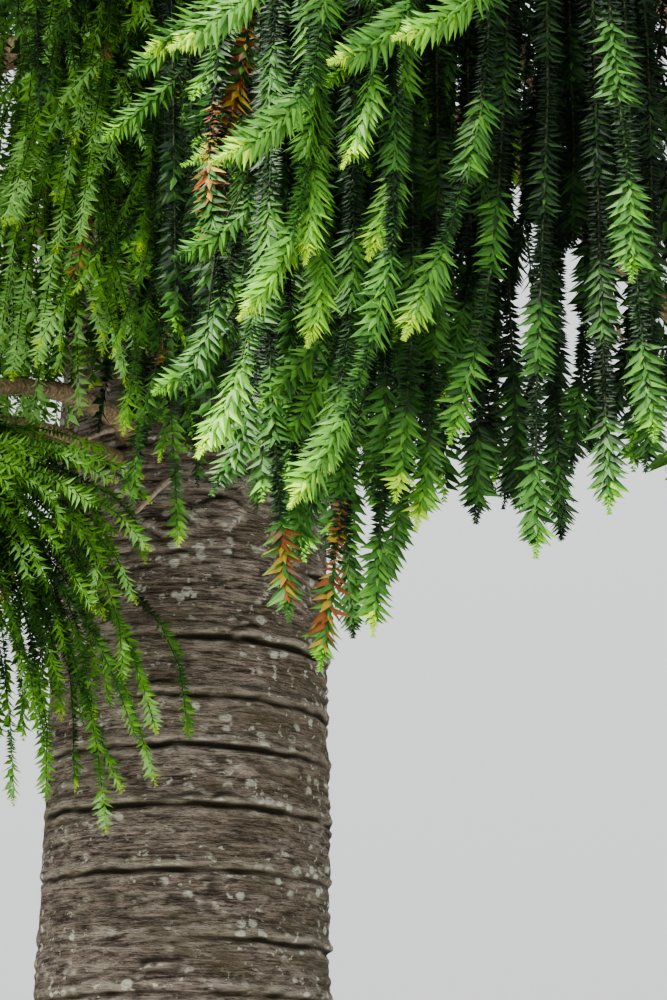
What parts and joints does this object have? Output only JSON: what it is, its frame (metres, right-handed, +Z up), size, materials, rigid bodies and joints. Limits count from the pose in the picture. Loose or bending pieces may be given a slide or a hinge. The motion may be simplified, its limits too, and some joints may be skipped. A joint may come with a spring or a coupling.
{
  "type": "bunya pine",
  "caption": "Whole open-grown bunya pine: ringed columnar trunk and whorls of slender boughs that carry hanging ropes of pointed leaves, up to a tufted tip.",
  "frame": {"origin": "middle of the flat cut under the trunk, at ground level", "axes": "+Z up along the trunk; the camera of the picture stands on the -Y side and looks along +Y, with +X to its right"},
  "size_m": [12.4774, 12.3546, 21.0927],
  "materials": {
    "bark": "rough grey-brown bark in level rings, with pale lichen",
    "bough_bark": "tan scaly bark",
    "foliage": "stiff glossy green leaves, bright at the growing tips"
  },
  "bodies": {
    "root": {"trunk": "bark", "bough_skirt_1": "bough_bark", "bough_skirt_2": "bough_bark", "bough_skirt_3": "bough_bark", "bough_skirt_4": "bough_bark", "bough_skirt_5": "bough_bark", "bough_low_1": "bough_bark", "bough_low_2": "bough_bark", "bough_low_3": "bough_bark", "bough_low_4": "bough_bark", "bough_low_5": "bough_bark", "bough_low_6": "bough_bark", "bough_middle_1": "bough_bark", "bough_middle_2": "bough_bark", "bough_middle_3": "bough_bark", "bough_middle_4": "bough_bark", "bough_middle_5": "bough_bark", "bough_middle_6": "bough_bark", "bough_shoulder_1": "bough_bark", "bough_shoulder_2": "bough_bark", "bough_shoulder_3": "bough_bark", "bough_shoulder_4": "bough_bark", "bough_shoulder_5": "bough_bark", "bough_upper_1": "bough_bark", "bough_upper_2": "bough_bark", "bough_upper_3": "bough_bark", "bough_upper_4": "bough_bark", "bough_crown_1": "bough_bark", "bough_crown_2": "bough_bark", "bough_crown_3": "bough_bark", "foliage_skirt_1": "foliage", "foliage_skirt_2": "foliage", "foliage_skirt_3": "foliage", "foliage_skirt_4": "foliage", "foliage_skirt_5": "foliage", "foliage_low_1": "foliage", "foliage_low_2": "foliage", "foliage_low_3": "foliage", "foliage_low_4": "foliage", "foliage_low_5": "foliage", "foliage_low_6": "foliage", "foliage_middle_1": "foliage", "foliage_middle_2": "foliage", "foliage_middle_3": "foliage", "foliage_middle_4": "foliage", "foliage_middle_5": "foliage", "foliage_middle_6": "foliage", "foliage_shoulder_1": "foliage", "foliage_shoulder_2": "foliage", "foliage_shoulder_3": "foliage", "foliage_shoulder_4": "foliage", "foliage_shoulder_5": "foliage", "foliage_upper_1": "foliage", "foliage_upper_2": "foliage", "foliage_upper_3": "foliage", "foliage_upper_4": "foliage", "foliage_crown_1": "foliage", "foliage_crown_2": "foliage", "foliage_crown_3": "foliage", "foliage_leader": "foliage"}
  },
  "joints": []
}
